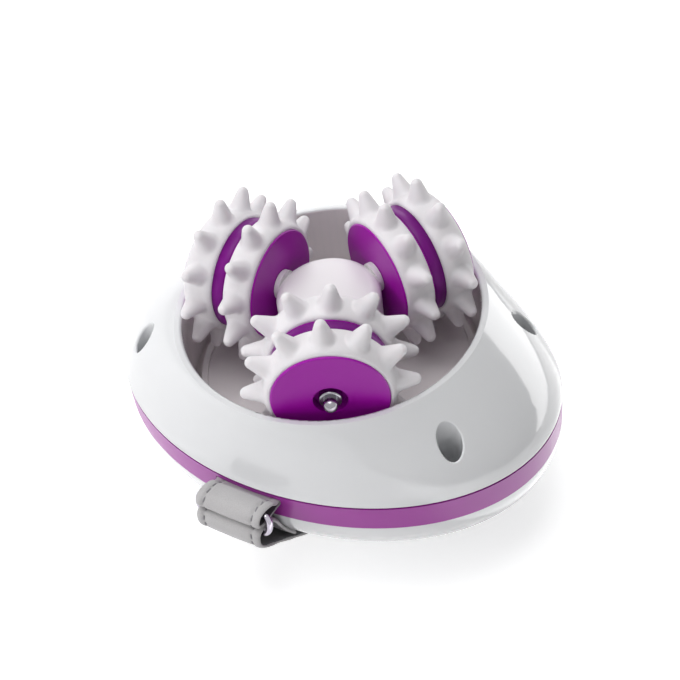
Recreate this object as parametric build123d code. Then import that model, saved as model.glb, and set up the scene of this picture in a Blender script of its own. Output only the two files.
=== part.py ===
from build123d import *
import os
from math import acos, atan, cos, pi, radians, sin, sqrt, tan

# Roller massager, lying on its back with the roller head up.
# X is the long way of the oval, Y the way the hand strap runs, Z up.
# The origin is on the ground under the middle of the oval. Millimetres and degrees.

# Fits shared by every piece
running_gap = 0.05
slip_gap = 0.15
open_gap = 0.3
cut_overrun = 1.0

# Housing outline
half_length = 80.0
half_width = 59.8
wall = 2.2
skirt_height = 27.2
trim_height = 10.3
dome_depth = 36.0
dome_length_power = 2.15
dome_width_power = 1.93
crown_share = 0.967
skirt_length_power = 1.55
skirt_width_power = 0.65
skirt_stations_share = (0, 0.25, 0.5, 0.75, 0.9, 1)
dome_stations_share = (0, 0.12, 0.3, 0.5, 0.68, 0.82, 0.91)

# Rim and bowl
head_offset = 1.0
skirt_side_reach = 7.4
lip_width = 2.4
lip_round = 1.0
bowl_corner = 3.0
bowl_floor = 2.2

# Trim ring
trim_groove = 0.8
trim_groove_depth = 0.8
spigot_height = 2.0
upper_spigot_height = 1.0
spigot_wall = 1.4
spigot_gap = 0.4

# Screw wells
well_turn = 25.8
well_out_share = 0.54
well_radius = 3.95
well_wall = 1.0
well_lip = 0.6
well_seat = 2.5
well_drop = 3.3
screw_radius = 1.5
screw_head_radius = 2.9
screw_head_height = 2.2
screw_length = 14.0
screw_drive_radius = 1.3
screw_drive_depth = 1.2
screw_edge = 0.6
post_radius = 4.5

# Roller head
axle_rise = 3.2
axle_radius = 2.4
axle_root = 6.0
axle_stand = 2.0
unit_count = 3
first_unit_angle = -60.0
wheel_stand = 1.0
wheel_gap = 2.7
wheel_to_wall = 4.7
core_radius_share = 0.374
core_edge = 0.6
nut_recess_radius = 5.5
nut_recess_depth = 3.0
sleeve_radius = 3.7
sleeve_stand = 0.3
sleeve_edge = 0.6
spacer_radius = 4.6

# Studded tyres
tyre_thickness = 2.3
tyre_edge_round = 1.2
stud_count = 12
stud_height = 7.35
stud_tip_radius = 1.75
stud_base_radius = 3.5
stud_flare_radius = 4.6
stud_flare_drop = 0.5
stud_flare_rise = 1.0
stud_root = 1.2
inner_phases = (6.0, 12.0, 12.0)
outer_phases = (0.0, 6.0, 6.0)

# Hub and turntable
hub_radius_share = 0.348
hub_rise = 8.5
hub_dome = 1.0
hub_round = 3.5
hub_split_drop = 6.5
collar_radius = 5.2
collar_gap = 0.2
collar_seat = 0.9
turntable_gap = 2.5
turntable_thickness = 2.5
turntable_lip = 1.2
turntable_lip_width = 2.0
stud_clearance = 2.3
turntable_drop = 1.5
hub_screw_radius = 1.3
hub_screw_head = 2.4
hub_screw_head_height = 1.6
hub_screw_length = 9.0
hub_screw_inset = 5.6

# Spindle and bearings
spindle_radius = 4.0
spindle_grip = 14.0
bush_wall = 3.0
flange_radius = 10.0
flange_thickness = 1.2
lower_bush_height = 4.0
clip_radius = 6.0
clip_thickness = 1.0
clip_groove = 0.6

# Gear train, each gear by its teeth and module
pressure_angle = 25.0
backlash = 0.16
head_module_share = 0.02
head_gear_teeth = 48
head_pinion_teeth = 12
motor_module_share = 0.016
motor_gear_teeth = 42
motor_pinion_teeth = 12
addendum_share = 0.9
dedendum_share = 1.15
head_gear_width = 4.5
motor_gear_width = 3.5
gear_gap = 1.2
gear_window_share = 0.175
gear_window_circle_share = 0.645
gear_window_count = 6
layshaft_radius = 2.0
layshaft_turn = 150.0
motor_turn = -88.0
thrust_radius = 4.0

# Gear deck and motor
deck_radius_share = 0.88
deck_thickness = 2.4
deck_post_radius = 3.5
deck_post_circle_share = 0.75
deck_post_angles = (-40.0, 40.0, 110.0, 235.0)
deck_screw_length = 7.0
motor_radius_share = 0.32
motor_floor_gap = 5.4
motor_edge = 1.5
motor_nose_radius = 4.9
motor_nose_height = 1.8
motor_shaft_radius = 1.15
motor_shaft_share = 0.67
motor_screw_circle_share = 0.69

# Supply board and inlet, at the -X end
inlet_collar_radius = 4.0
inlet_bore_radius = 2.75
inlet_bore_share = 0.62
inlet_pin_radius = 1.0
inlet_pin_short = 1.5
inlet_body_width = 9.0
inlet_depth_share = 0.535
inlet_recess = 0.4
board_end_gap = 1.2
board_width = 24.0
board_thickness = 1.6
board_post_radius = 2.5
board_post_inset = 3.5
board_set_back = 2.0
chip_length_share = 0.42
chip_width = 6.0
chip_height = 1.5

# Slide switch on the dome, towards the +X end
switch_out_share = 0.625
switch_travel = 3.5
switch_pocket_length = 20.0
switch_pocket_width = 9.0
switch_pocket_depth = 1.0
switch_neck_length = 5.0
switch_neck_width = 3.0
switch_neck_depth = 5.0
switch_cap_length = 8.0
switch_cap_width = 7.6
switch_cap_stand = 1.6
switch_cap_round = 0.8
switch_rib_pitch = 1.6
switch_rib_depth = 0.5
switch_rib_width = 0.7
switch_rib_count = 4
switch_body_length = 20.0
switch_body_width = 9.0
switch_body_height = 5.5
switch_body_drop = 1.2

# Hand strap, its tabs and the metal rings between them
strap_thickness = 2.2
strap_width = 24.0
strap_gap = 0.3
strap_lift_share = 0.9
strap_samples = 12
tab_reach = 12.2
tab_rise = 6.4
tab_drop = 4.7
tab_root_height = 2.2
slot_gap = 0.3
hem_radius = 1.6
hem_inset = 5.6
rod_radius = 0.8
loop_reach = 13.3
loop_height = 25.4
loop_drop = 29.3
tab_outline_shares = (
    (0.09, 0.34), (0.22, 0.72), (0.48, 0.95), (0.76, 0.98), (0.94, 0.78), (1.0, 0.45), (0.88, 0.2), (0.5, 0.03), (0.09, 0.0))
tab_hollow_shares = (
    (0.2, 0.36), (0.29, 0.55), (0.5, 0.71), (0.73, 0.72), (0.84, 0.59), (0.86, 0.45), (0.76, 0.34), (0.5, 0.28), (0.33, 0.28))
loop_outline_shares = (
    (-0.59, 0.0), (-0.33, 0.08), (-0.04, 0.22), (0.26, 0.35), (0.54, 0.48), (0.8, 0.6), (0.95, 0.71), (1.0, 0.83), (0.98, 0.94),
    (0.87, 0.99), (0.71, 0.99), (0.53, 0.97), (0.38, 0.91), (0.23, 0.8), (0.11, 0.64), (-0.03, 0.48), (-0.2, 0.33), (-0.38, 0.18))
loop_hollow_shares = (
    (0.04, 0.33), (0.21, 0.42), (0.47, 0.53), (0.71, 0.65), (0.84, 0.74), (0.87, 0.85), (0.83, 0.91),
    (0.74, 0.93), (0.59, 0.92), (0.47, 0.87), (0.34, 0.75), (0.23, 0.61), (0.11, 0.46))
ring_wire = 1.1
ring_upper_share = (0.59, 0.51)
ring_lower_share = (0.71, 0.87)
ring_side_gap = 0.3

# Places in plan
rim_radius = half_width - skirt_side_reach
bowl_radius = rim_radius - lip_width
cup_radius = bowl_radius + wall
well_reach = 1 / sqrt((cos(radians(well_turn)) / half_length) ** 2 + (sin(radians(well_turn)) / half_width) ** 2)
well_circle = rim_radius + (well_reach - rim_radius) * well_out_share
well_x = well_circle * cos(radians(well_turn))
well_y = well_circle * sin(radians(well_turn))
well_spots = [(sx * well_x, sy * well_y) for sx in (-1, 1) for sy in (-1, 1)]
switch_x = half_length * switch_out_share

# The head fills the bowl
hub_radius = bowl_radius * hub_radius_share
turntable_radius = bowl_radius - turntable_gap
wheel_start = hub_radius + wheel_stand
outer_wheel_end = bowl_radius - wheel_to_wall
wheel_width = (outer_wheel_end - wheel_start - wheel_gap) / 2
axle_ball_reach = outer_wheel_end + axle_stand
core_radius = bowl_radius * core_radius_share
tyre_crown_radius = core_radius + tyre_thickness
stud_reach = tyre_crown_radius + stud_height
unit_angles = [first_unit_angle + 360 / unit_count * n for n in range(unit_count)]
inner_wheel_middle = wheel_start + wheel_width / 2
outer_wheel_start = wheel_start + wheel_width + wheel_gap
outer_wheel_middle = outer_wheel_start + wheel_width / 2

# The gear train lies under the bowl
deck_radius = bowl_radius * deck_radius_share
deck_post_circle = bowl_radius * deck_post_circle_share
head_module = bowl_radius * head_module_share
motor_module = bowl_radius * motor_module_share
head_gear_pitch = head_module * head_gear_teeth / 2
head_pinion_pitch = head_module * head_pinion_teeth / 2
motor_gear_pitch = motor_module * motor_gear_teeth / 2
motor_pinion_pitch = motor_module * motor_pinion_teeth / 2
head_centres = head_gear_pitch + head_pinion_pitch
motor_centres = motor_gear_pitch + motor_pinion_pitch
gear_window_radius = head_gear_pitch * gear_window_share
gear_window_circle = head_gear_pitch * gear_window_circle_share
layshaft_x = head_offset + head_centres * cos(radians(layshaft_turn))
layshaft_y = head_centres * sin(radians(layshaft_turn))
motor_x = layshaft_x + motor_centres * cos(radians(motor_turn))
motor_y = layshaft_y + motor_centres * sin(radians(motor_turn))
motor_radius = bowl_radius * motor_radius_share
motor_screw_circle = motor_radius * motor_screw_circle_share

# Levels, from the ground up
crown_z = strap_thickness + strap_gap
trim_bottom_z = crown_z + dome_depth * crown_share
trim_top_z = trim_bottom_z + trim_height
rim_z = trim_top_z + skirt_height
axle_z = rim_z + axle_rise
hub_split_z = axle_z - hub_split_drop
turntable_top_z = axle_z - stud_reach - stud_clearance
turntable_bottom_z = turntable_top_z - turntable_thickness
floor_top_z = turntable_bottom_z - turntable_drop
floor_bottom_z = floor_top_z - bowl_floor
head_gear_top_z = floor_bottom_z - gear_gap
head_gear_bottom_z = head_gear_top_z - head_gear_width
motor_gear_top_z = head_gear_bottom_z - gear_gap
motor_gear_bottom_z = motor_gear_top_z - motor_gear_width
deck_top_z = motor_gear_bottom_z - gear_gap
deck_bottom_z = deck_top_z - deck_thickness
motor_bottom_z = crown_z + wall + motor_floor_gap
motor_shaft_depth = (deck_bottom_z - motor_bottom_z) * motor_shaft_share

nodes = {}


# Basic shapes

def tube(radius, low, high, x=0, y=0):
    return Pos(x, y, low) * Cylinder(radius, high - low, align=(Align.CENTER, Align.CENTER, Align.MIN))


def ring(outer, inner, low, high, x=0, y=0):
    return tube(outer, low, high, x, y) - tube(inner, low - cut_overrun, high + cut_overrun, x, y)


def oval(half_x, half_y, low, high):
    return Pos(0, 0, low) * extrude(Ellipse(half_x, half_y), high - low)


def rod_along_x(radius, length, y, z):
    return Pos(0, y, z) * Rot(0, 90, 0) * Cylinder(radius, length)


# Housing surfaces. A share of 0 is the rim or the trim, a share of 1 the far end.

def skirt_axes(share):
    long_way = rim_radius + (half_length - rim_radius) * (1 - (1 - share) ** skirt_length_power)
    wide_way = rim_radius + (half_width - rim_radius) * (1 - (1 - share) ** skirt_width_power)
    return long_way, wide_way


def skirt_section(share, inset):
    long_way, wide_way = skirt_axes(share)
    place = Pos(head_offset * (1 - share), 0, rim_z - skirt_height * share)
    return place * Ellipse(long_way - inset, wide_way - inset)


def skirt_solid(inset):
    return loft([skirt_section(share, inset) for share in skirt_stations_share])


def dome_spread(share, power):
    return (1 - share ** power) ** (1 / power)


def dome_solid(inset):
    sections = []
    for share in dome_stations_share + (crown_share,):
        place = Pos(0, 0, trim_bottom_z - (dome_depth - inset) * share)
        long_way = (half_length - inset) * dome_spread(share, dome_length_power)
        wide_way = (half_width - inset) * dome_spread(share, dome_width_power)
        sections.append(place * Ellipse(long_way, wide_way))
    return loft(sections)


# Upper shell: skirt, bowl for the head, screw wells and the posts of the gear deck

def deck_post_spots():
    spots = []
    for angle in deck_post_angles:
        turn = radians(angle)
        spots.append((head_offset + deck_post_circle * cos(turn), deck_post_circle * sin(turn)))
    return spots


def upper_shell():
    outside = skirt_solid(0)
    shell = outside - skirt_solid(wall)
    shell += tube(cup_radius, floor_bottom_z, rim_z, head_offset) & (outside + tube(cup_radius, floor_bottom_z, trim_top_z, head_offset))
    for x, y in well_spots:
        well = tube(well_radius + well_wall, trim_bottom_z + well_drop, rim_z, x, y)
        inside = outside + tube(well_radius + well_wall, trim_bottom_z, trim_top_z, x, y)
        shell += well & inside
    bowl = tube(bowl_radius, floor_top_z, rim_z + cut_overrun, head_offset)
    bowl = fillet(bowl.edges().sort_by(Axis.Z)[0], bowl_corner)
    shell -= bowl
    for x, y in deck_post_spots():
        shell += tube(deck_post_radius, deck_top_z, floor_bottom_z, x, y)
        shell -= tube(screw_radius - slip_gap, deck_top_z - cut_overrun, deck_top_z + deck_screw_length, x, y)
    for x, y in well_spots:
        seat = trim_bottom_z + well_drop + well_seat
        shell -= tube(well_radius, seat, rim_z, x, y)
        shell -= tube(screw_radius + slip_gap, trim_bottom_z, seat + cut_overrun, x, y)
    shell -= tube(spindle_radius + running_gap + bush_wall, floor_bottom_z - cut_overrun, floor_top_z + cut_overrun, head_offset)
    return shell


def rounded_rim(shell):
    top_edges = shell.edges().filter_by(GeomType.CIRCLE).group_by(Axis.Z)[-1]
    return fillet(top_edges, lip_round)


def rounded_wells(shell):
    # The mouth of each well is the one edge round it that isn't level
    for x, y in well_spots:
        mouth = []
        for edge in shell.edges():
            box = edge.bounding_box()
            middle = box.center()
            near = abs(middle.X - x) < well_lip and abs(middle.Y - y) < well_lip
            if near and box.size.Z > well_radius / 2 and box.max.Z > trim_top_z:
                mouth.append(edge)
        shell = fillet(mouth, well_lip)
    return shell


# Trim ring, with slots for the strap tabs and a hole for the inlet

def trim_ring():
    fit = wall + spigot_gap
    inside = fit + spigot_wall
    long_way, wide_way = skirt_axes(1 - upper_spigot_height / skirt_height)
    body = oval(half_length, half_width, trim_bottom_z, trim_top_z - trim_groove)
    body += oval(half_length - trim_groove_depth, half_width - trim_groove_depth, trim_top_z - trim_groove, trim_top_z)
    body += oval(half_length - fit, half_width - fit, trim_bottom_z - spigot_height, trim_bottom_z)
    body += oval(long_way - fit, wide_way - fit, trim_top_z, trim_top_z + upper_spigot_height)
    body -= oval(half_length - inside, half_width - inside,
                 trim_bottom_z - spigot_height - cut_overrun, trim_top_z + spigot_height + cut_overrun)
    slot_height = tab_root_height + 2 * slot_gap
    slot = Pos(0, 0, tab_root_z + tab_root_height / 2) * Box(strap_width + 2 * slot_gap, 4 * half_width, slot_height)
    body -= slot
    hole = Pos(-half_length, 0, inlet_z) * Rot(0, 90, 0) * Cylinder(inlet_collar_radius + slip_gap, 4 * trim_height)
    body -= hole
    for x, y in well_spots:
        body -= tube(well_radius + well_wall + open_gap, trim_bottom_z - spigot_height - cut_overrun,
                     trim_top_z + spigot_height, x, y)
    return body


# Lower shell: dome, screw posts, board posts and the switch pocket

def post_in_dome(outside, radius, top, x, y):
    post = tube(radius, 0, top, x, y)
    return post & (outside + tube(radius, trim_bottom_z - cut_overrun, top + cut_overrun, x, y))


def lower_shell():
    outside = dome_solid(0)
    shell = outside - dome_solid(wall)
    top = trim_bottom_z + well_drop
    for x, y in well_spots:
        shell += post_in_dome(outside, post_radius, top, x, y)
    for x, y in board_post_spots():
        shell += post_in_dome(outside, board_post_radius, board_z, x, y)
    for x, y in well_spots:
        shell -= tube(screw_radius, top + well_seat - screw_length - open_gap, top + cut_overrun, x, y)
    pocket = Pos(0, 0, -switch_pocket_depth) * Box(
        switch_pocket_length, switch_pocket_width, 4 * switch_pocket_depth, align=(Align.CENTER, Align.CENTER, Align.MIN))
    slot_length = switch_neck_length + 2 * switch_travel + 2 * open_gap
    slot = Box(slot_length, switch_neck_width + 2 * open_gap, 4 * wall)
    shell -= switch_plane() * pocket
    shell -= switch_plane() * slot
    return shell


# Fasteners

def screw(radius, head_radius, head_height, length, x, y, seat_z):
    # The head sits on seat_z and the shank points down
    head = tube(head_radius, seat_z, seat_z + head_height, x, y)
    head = fillet(head.edges().group_by(Axis.Z)[-1], screw_edge)
    drive = Pos(x, y, seat_z + head_height - screw_drive_depth) * extrude(
        RegularPolygon(screw_drive_radius, 6), screw_drive_depth + cut_overrun)
    return head + tube(radius, seat_z - length, seat_z, x, y) - drive


def screw_up(radius, head_radius, head_height, length, x, y, seat_z):
    # The same screw upside down, its head below seat_z
    upright = screw(radius, head_radius, head_height, length, 0, 0, 0)
    return Pos(x, y, seat_z) * Rot(180, 0, 0) * upright


# Involute gears

def gear_outline(teeth, module, turn):
    pitch = module * teeth / 2
    base = pitch * cos(radians(pressure_angle))
    tip = pitch + addendum_share * module
    root = pitch - dedendum_share * module
    rolled = tan(radians(pressure_angle)) - radians(pressure_angle)
    half_tooth = pi / (2 * teeth) - backlash / (2 * pitch)
    flank = []
    for step in range(4):
        radius = root + (tip - root) * step / 3
        lean = acos(min(1, base / radius)) if radius > base else 0
        flank.append((radius, half_tooth + rolled - (tan(lean) - lean)))
    points = []
    for tooth in range(teeth):
        middle = radians(turn) + 2 * pi * tooth / teeth
        for radius, half in flank:
            points.append((radius * cos(middle - half), radius * sin(middle - half)))
        for radius, half in reversed(flank):
            points.append((radius * cos(middle + half), radius * sin(middle + half)))
    return make_face(Polyline(*points, close=True))


def gear(teeth, module, turn, low, high, x, y):
    return Pos(x, y, low) * extrude(gear_outline(teeth, module, turn), high - low)


def meshing_turn(teeth, other_teeth, other_turn, direction):
    # The gear's turn that puts a gap where the other gear has its flank, seen along direction
    other_phase = (direction - other_turn) * other_teeth / 360
    return direction + 180 + (other_phase + 0.5) * 360 / teeth


# Wheels, built at the origin with the axle along X and the wheel's middle at x = 0

def wheel_core():
    half = wheel_width / 2
    body = Rot(0, 90, 0) * Cylinder(core_radius, wheel_width)
    body = fillet(body.edges().filter_by(GeomType.CIRCLE), core_edge)
    body -= Rot(0, 90, 0) * Cylinder(axle_radius + running_gap, 2 * wheel_width)
    recess = Pos(half - nut_recess_depth, 0, 0) * Rot(0, 90, 0) * Cylinder(
        nut_recess_radius, nut_recess_depth + cut_overrun, align=(Align.CENTER, Align.CENTER, Align.MIN))
    return body - recess


def tyre_band():
    # Between the rounded edges of the core, which stand out on both sides
    half = wheel_width / 2 - core_edge
    low = tyre_crown_radius - tyre_edge_round
    flat = half - tyre_edge_round
    turn_x = flat + tyre_edge_round * sqrt(0.5)
    turn_y = low + tyre_edge_round * sqrt(0.5)
    profile = [
        Line((-half, core_radius), (-half, low)),
        ThreePointArc((-half, low), (-turn_x, turn_y), (-flat, tyre_crown_radius)),
        Line((-flat, tyre_crown_radius), (flat, tyre_crown_radius)),
        ThreePointArc((flat, tyre_crown_radius), (turn_x, turn_y), (half, low)),
        Line((half, low), (half, core_radius)),
        Line((half, core_radius), (-half, core_radius)),
    ]
    return revolve(make_face(profile), Axis.X)


def stud():
    # A cone that flares into the tyre and ends in a ball, along Z from the axle
    tip_centre = stud_reach - stud_tip_radius
    rise = tip_centre - tyre_crown_radius
    lean = atan((stud_base_radius - stud_tip_radius) / rise)
    tip_edge = (stud_tip_radius * cos(lean), tip_centre + stud_tip_radius * sin(lean))
    tip_mid = (stud_tip_radius * cos(radians(45) + lean / 2), tip_centre + stud_tip_radius * sin(radians(45) + lean / 2))
    flare_top_z = tyre_crown_radius + stud_flare_rise
    flare_top = (tip_edge[0] + (tip_edge[1] - flare_top_z) * tan(lean), flare_top_z)
    flare_foot = (stud_flare_radius, tyre_crown_radius - stud_flare_drop)
    root = core_radius + stud_root
    profile = [
        Line((0, root), (stud_flare_radius, root)),
        Line((stud_flare_radius, root), flare_foot),
        TangentArc(flare_top, flare_foot, tangent=(sin(lean), -cos(lean))),
        Line(flare_top, tip_edge),
        ThreePointArc(tip_edge, tip_mid, (0, stud_reach)),
        Line((0, stud_reach), (0, root)),
    ]
    return revolve(Plane.XZ * make_face(profile), Axis.Z)


def tyre():
    one = stud()
    studs = [Rot(360 / stud_count * n, 0, 0) * one for n in range(stud_count)]
    return Rot(180 / stud_count, 0, 0) * tyre_band() + studs


def axle_frame(angle, reach):
    # Local X runs out along the axle, local Z stays up
    return Pos(head_offset, 0, axle_z) * Rot(0, 0, angle) * Pos(reach, 0, 0)


def along_axle(radius, start, end):
    return Pos(start, 0, 0) * Rot(0, 90, 0) * Cylinder(radius, end - start, align=(Align.CENTER, Align.CENTER, Align.MIN))


def axle():
    ball = Pos(axle_ball_reach, 0, 0) * Sphere(axle_radius)
    return along_axle(axle_radius, axle_root, axle_ball_reach) + ball


def axle_sleeve():
    start = outer_wheel_end - nut_recess_depth + slip_gap
    body = along_axle(sleeve_radius, start, outer_wheel_end + sleeve_stand)
    body = fillet(body.edges().filter_by(GeomType.CIRCLE).sort_by(Axis.X)[-1], sleeve_edge)
    return body - along_axle(axle_radius, axle_root, axle_ball_reach)


def axle_ring(radius, start, end):
    return along_axle(radius, start, end) - along_axle(axle_radius, axle_root, axle_ball_reach)


# Hub

def hub_cuts():
    seat_start = hub_radius - collar_seat
    cuts = []
    for angle in unit_angles:
        seat = axle_frame(angle, 0) * along_axle(collar_radius + slip_gap, seat_start, 2 * hub_radius)
        cuts.append(seat + axle_frame(angle, 0) * along_axle(axle_radius, axle_root, 2 * hub_radius))
    return cuts


def hub_body():
    body = tube(hub_radius, turntable_top_z, hub_split_z, head_offset)
    body -= tube(spindle_radius, turntable_top_z - cut_overrun, turntable_top_z + spindle_grip, head_offset)
    hole_top = turntable_bottom_z + hub_screw_head_height + hub_screw_length + open_gap
    for x, y in hub_screw_spots():
        body -= tube(hub_screw_radius, turntable_top_z - cut_overrun, hole_top, x, y)
    return body


def hub_cap():
    top = rim_z + hub_rise
    shoulder = top - hub_dome - hub_round
    dome_edge = hub_radius - hub_round
    dome_radius = (dome_edge ** 2 + hub_dome ** 2) / (2 * hub_dome)
    dome_middle = top - dome_radius + sqrt(dome_radius ** 2 - (dome_edge / 2) ** 2)
    profile = [
        Line((0, hub_split_z), (hub_radius, hub_split_z)),
        Line((hub_radius, hub_split_z), (hub_radius, shoulder)),
        ThreePointArc((hub_radius, shoulder), (dome_edge + hub_round * sqrt(0.5), shoulder + hub_round * sqrt(0.5)),
                      (dome_edge, top - hub_dome)),
        ThreePointArc((dome_edge, top - hub_dome), (dome_edge / 2, dome_middle), (0, top)),
        Line((0, top), (0, hub_split_z)),
    ]
    cap = Pos(head_offset, 0, 0) * revolve(Plane.XZ * make_face(profile), Axis.Z)
    return cap - hub_cuts()


def hub_screw_spots():
    spots = []
    for angle in unit_angles:
        turn = radians(angle + 60)
        circle = hub_radius - hub_screw_inset
        spots.append((head_offset + circle * cos(turn), circle * sin(turn)))
    return spots


def turntable():
    plate = tube(turntable_radius, turntable_bottom_z, turntable_top_z, head_offset)
    plate += ring(turntable_radius, turntable_radius - turntable_lip_width, turntable_top_z - cut_overrun,
                  turntable_top_z + turntable_lip, head_offset)
    plate -= tube(spindle_radius, turntable_bottom_z - cut_overrun, turntable_top_z + cut_overrun, head_offset)
    for x, y in hub_screw_spots():
        plate -= tube(hub_screw_radius, turntable_bottom_z - cut_overrun, turntable_top_z + cut_overrun, x, y)
        plate -= tube(hub_screw_head + slip_gap, turntable_bottom_z - cut_overrun,
                      turntable_bottom_z + hub_screw_head_height, x, y)
    return plate


# Spindle and its bearings

def head_spindle():
    low = deck_bottom_z - clip_thickness - 2 * open_gap
    shaft = tube(spindle_radius, low, turntable_top_z + spindle_grip, head_offset)
    groove = ring(2 * spindle_radius, spindle_radius - clip_groove, deck_bottom_z - open_gap - clip_thickness,
                  deck_bottom_z - open_gap, head_offset)
    return shaft - groove


def spindle_clip():
    high = deck_bottom_z - open_gap
    body = ring(clip_radius, spindle_radius - clip_groove, high - clip_thickness, high, head_offset)
    mouth = Pos(head_offset + clip_radius, 0, high) * Box(2 * clip_radius, spindle_radius, 4 * clip_thickness)
    return body - mouth


def spindle_bush_upper():
    outer = spindle_radius + running_gap + bush_wall
    body = tube(outer, floor_bottom_z, floor_top_z, head_offset)
    body += tube(flange_radius, floor_top_z, floor_top_z + flange_thickness, head_offset)
    return body - tube(spindle_radius + running_gap, floor_bottom_z - cut_overrun, rim_z, head_offset)


def spindle_bush_lower():
    outer = spindle_radius + running_gap + bush_wall
    body = tube(outer, deck_bottom_z, deck_top_z + lower_bush_height, head_offset)
    return body - tube(spindle_radius + running_gap, 0, rim_z, head_offset)


def output_gear():
    body = gear(head_gear_teeth, head_module, 0, head_gear_bottom_z, head_gear_top_z, head_offset, 0)
    body -= tube(spindle_radius, head_gear_bottom_z - cut_overrun, head_gear_top_z + cut_overrun, head_offset)
    for n in range(gear_window_count):
        turn = 2 * pi * n / gear_window_count
        x = head_offset + gear_window_circle * cos(turn)
        y = gear_window_circle * sin(turn)
        body -= tube(gear_window_radius, head_gear_bottom_z - cut_overrun, head_gear_top_z + cut_overrun, x, y)
    return body


# Middle gear on its pin, and the motor

pinion_turn = meshing_turn(head_pinion_teeth, head_gear_teeth, 0, layshaft_turn)
motor_pinion_turn = meshing_turn(motor_pinion_teeth, motor_gear_teeth, pinion_turn, motor_turn)


def compound_gear():
    low = motor_gear_bottom_z
    body = gear(head_pinion_teeth, head_module, pinion_turn, low, head_gear_top_z, layshaft_x, layshaft_y)
    body += gear(motor_gear_teeth, motor_module, pinion_turn, low, motor_gear_top_z, layshaft_x, layshaft_y)
    body += tube(thrust_radius, deck_top_z + open_gap, low, layshaft_x, layshaft_y)
    return body - tube(layshaft_radius + running_gap, 0, rim_z, layshaft_x, layshaft_y)


def layshaft_pin():
    return tube(layshaft_radius, deck_bottom_z, floor_bottom_z - slip_gap, layshaft_x, layshaft_y)


def gear_deck():
    plate = tube(deck_radius, deck_bottom_z, deck_top_z, head_offset)
    plate -= tube(spindle_radius + running_gap + bush_wall, deck_bottom_z - cut_overrun, deck_top_z + cut_overrun, head_offset)
    plate -= tube(layshaft_radius, deck_bottom_z - cut_overrun, deck_top_z + cut_overrun, layshaft_x, layshaft_y)
    plate -= tube(motor_nose_radius + slip_gap, deck_bottom_z - cut_overrun, deck_top_z + cut_overrun, motor_x, motor_y)
    for x, y in deck_post_spots() + motor_screw_spots():
        plate -= tube(screw_radius + slip_gap, deck_bottom_z - cut_overrun, deck_top_z + cut_overrun, x, y)
    return plate


def motor_screw_spots():
    side = radians(motor_turn + 90)
    dx = motor_screw_circle * cos(side)
    dy = motor_screw_circle * sin(side)
    return [(motor_x - dx, motor_y - dy), (motor_x + dx, motor_y + dy)]


def motor_can():
    can = tube(motor_radius, motor_bottom_z, deck_bottom_z, motor_x, motor_y)
    can = fillet(can.edges().filter_by(GeomType.CIRCLE), motor_edge)
    can += tube(motor_nose_radius, deck_bottom_z - motor_edge, deck_bottom_z + motor_nose_height, motor_x, motor_y)
    can -= tube(motor_shaft_radius + running_gap, deck_bottom_z - motor_shaft_depth - open_gap, rim_z, motor_x, motor_y)
    for x, y in motor_screw_spots():
        can -= tube(screw_radius, deck_bottom_z - deck_screw_length, deck_bottom_z + cut_overrun, x, y)
    return can


def motor_shaft():
    return tube(motor_shaft_radius, deck_bottom_z - motor_shaft_depth, motor_gear_top_z + open_gap, motor_x, motor_y)


def motor_pinion():
    body = gear(motor_pinion_teeth, motor_module, motor_pinion_turn, motor_gear_bottom_z, motor_gear_top_z, motor_x, motor_y)
    return body - tube(motor_shaft_radius, 0, rim_z, motor_x, motor_y)


# Supply board and inlet

inlet_z = trim_bottom_z + trim_height / 2
inlet_face_x = -half_length + inlet_recess
inlet_body_x = -half_length + wall + spigot_gap + spigot_wall + 2 * open_gap
inlet_depth = (head_offset - cup_radius - inlet_face_x) * inlet_depth_share
inlet_bore_depth = inlet_depth * inlet_bore_share
board_z = inlet_z - inlet_body_width / 2 - board_thickness
board_start_x = inlet_body_x + board_set_back
board_end_x = head_offset - cup_radius - board_end_gap


def board_post_spots():
    x = board_end_x - board_post_inset
    y = board_width / 2 - board_post_inset
    return [(x, -y), (x, y)]


def dc_jack():
    body_length = inlet_face_x + inlet_depth - inlet_body_x
    body = Pos(inlet_body_x, 0, inlet_z) * Box(
        body_length, inlet_body_width, inlet_body_width, align=(Align.MIN, Align.CENTER, Align.CENTER))
    collar = Pos(inlet_face_x, 0, inlet_z) * Rot(0, 90, 0) * Cylinder(
        inlet_collar_radius, inlet_body_x - inlet_face_x + cut_overrun, align=(Align.CENTER, Align.CENTER, Align.MIN))
    bore = Pos(inlet_face_x - cut_overrun, 0, inlet_z) * Rot(0, 90, 0) * Cylinder(
        inlet_bore_radius, inlet_bore_depth + cut_overrun, align=(Align.CENTER, Align.CENTER, Align.MIN))
    pin = Pos(inlet_face_x + inlet_pin_short, 0, inlet_z) * Rot(0, 90, 0) * Cylinder(
        inlet_pin_radius, inlet_bore_depth, align=(Align.CENTER, Align.CENTER, Align.MIN))
    return body + collar - bore + pin


def circuit_board():
    plate = Pos(board_start_x, 0, board_z) * Box(
        board_end_x - board_start_x, board_width, board_thickness, align=(Align.MIN, Align.CENTER, Align.MIN))
    free_start = inlet_face_x + inlet_depth
    chip_length = (board_end_x - free_start) * chip_length_share
    chip = Pos((free_start + board_end_x) / 2, 0, board_z + board_thickness) * Box(
        chip_length, chip_width, chip_height, align=(Align.CENTER, Align.CENTER, Align.MIN))
    return plate + chip


# Slide switch

def switch_plane():
    # Local X is the way the knob slides, local Z points out of the dome
    spread = switch_x / half_length
    share = dome_spread(spread, dome_length_power)
    slope = dome_depth / half_length * (spread / share) ** (dome_length_power - 1)
    lean = atan(slope)
    middle = (switch_x, 0, trim_bottom_z - dome_depth * share)
    return Plane(origin=middle, x_dir=(0, 1, 0), z_dir=(sin(lean), 0, -cos(lean)))


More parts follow.
